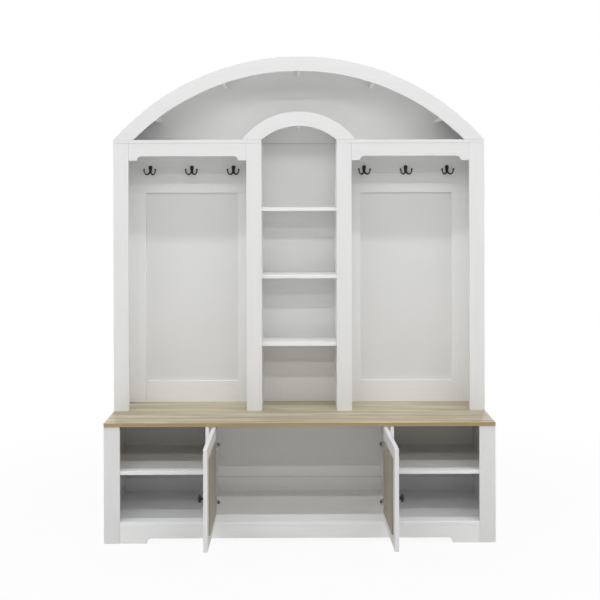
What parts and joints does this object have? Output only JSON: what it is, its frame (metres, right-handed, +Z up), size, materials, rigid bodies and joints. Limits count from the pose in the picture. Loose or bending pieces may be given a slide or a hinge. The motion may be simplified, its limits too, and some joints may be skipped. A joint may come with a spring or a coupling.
{
  "type": "hall tree with hooks",
  "caption": "White arched hall tree with an oak bench seat, open cubbies, a pair of inset doors, a shelf column and black double coat hooks.",
  "frame": {"origin": "floor level, under the middle of the space the object takes up with its doors open as at rest", "axes": "+X to the viewer's right, front towards -Y, +Z up"},
  "size_m": [1.6, 0.8122, 2.02],
  "materials": {
    "white_laminate": "satin white laminate on board",
    "back_sheet": "matt white foil on thin hardboard",
    "oak_laminate": "matt grey oak print with a tan edge band",
    "black_metal": "satin black",
    "steel": "nickel plated"
  },
  "bodies": {
    "cabinet": {"left_base_side_panel": "white_laminate", "left_base_stile": "white_laminate", "left_divider": "white_laminate", "left_cubby_shelf": "white_laminate", "right_base_side_panel": "white_laminate", "right_base_stile": "white_laminate", "right_divider": "white_laminate", "right_cubby_shelf": "white_laminate", "bottom_board": "white_laminate", "plinth": "white_laminate", "base_back_lower": "back_sheet", "base_back_upper": "back_sheet", "bench_top": "oak_laminate", "left_hutch_side_panel": "white_laminate", "left_column_upright": "white_laminate", "left_hutch_stile": "white_laminate", "left_column_stile": "white_laminate", "left_header_board": "white_laminate", "left_valance": "white_laminate", "left_hook_rail": "white_laminate", "left_bay_frame": "white_laminate", "right_hutch_side_panel": "white_laminate", "right_column_upright": "white_laminate", "right_hutch_stile": "white_laminate", "right_column_stile": "white_laminate", "right_header_board": "white_laminate", "right_valance": "white_laminate", "right_hook_rail": "white_laminate", "right_bay_frame": "white_laminate", "lower_column_shelf": "white_laminate", "middle_column_shelf": "white_laminate", "upper_column_shelf": "white_laminate", "hutch_back_panel": "back_sheet", "arch_front": "white_laminate", "small_arch_front": "white_laminate", "left_arch_cover": "white_laminate", "right_arch_cover": "white_laminate", "small_arch_cover": "white_laminate", "arch_back_panel": "back_sheet", "left_hook_1": "black_metal", "left_hook_2": "black_metal", "left_hook_3": "black_metal", "right_hook_1": "black_metal", "right_hook_2": "black_metal", "right_hook_3": "black_metal", "left_lower_hinge_arm": "steel", "left_upper_hinge_arm": "steel", "right_lower_hinge_arm": "steel", "right_upper_hinge_arm": "steel"},
    "left_door": {"left_door_frame": "white_laminate", "left_door_panel": "oak_laminate", "left_door_knob": "black_metal", "left_lower_hinge_cup": "steel", "left_upper_hinge_cup": "steel"},
    "right_door": {"right_door_frame": "white_laminate", "right_door_panel": "oak_laminate", "right_door_knob": "black_metal", "right_lower_hinge_cup": "steel", "right_upper_hinge_cup": "steel"}
  },
  "joints": [
    {"name": "left_door_hinge", "type": "hinge", "parent": "cabinet", "child": "left_door", "pos_m": [-0.36365, -0.04503, 0.282], "axis": [0, 0, 1], "range_deg": [-19.6, 90.4]},
    {"name": "right_door_hinge", "type": "hinge", "parent": "cabinet", "child": "right_door", "pos_m": [0.36365, -0.04503, 0.282], "axis": [0, 0, -1], "range_deg": [-18.4, 91.6]}
  ]
}
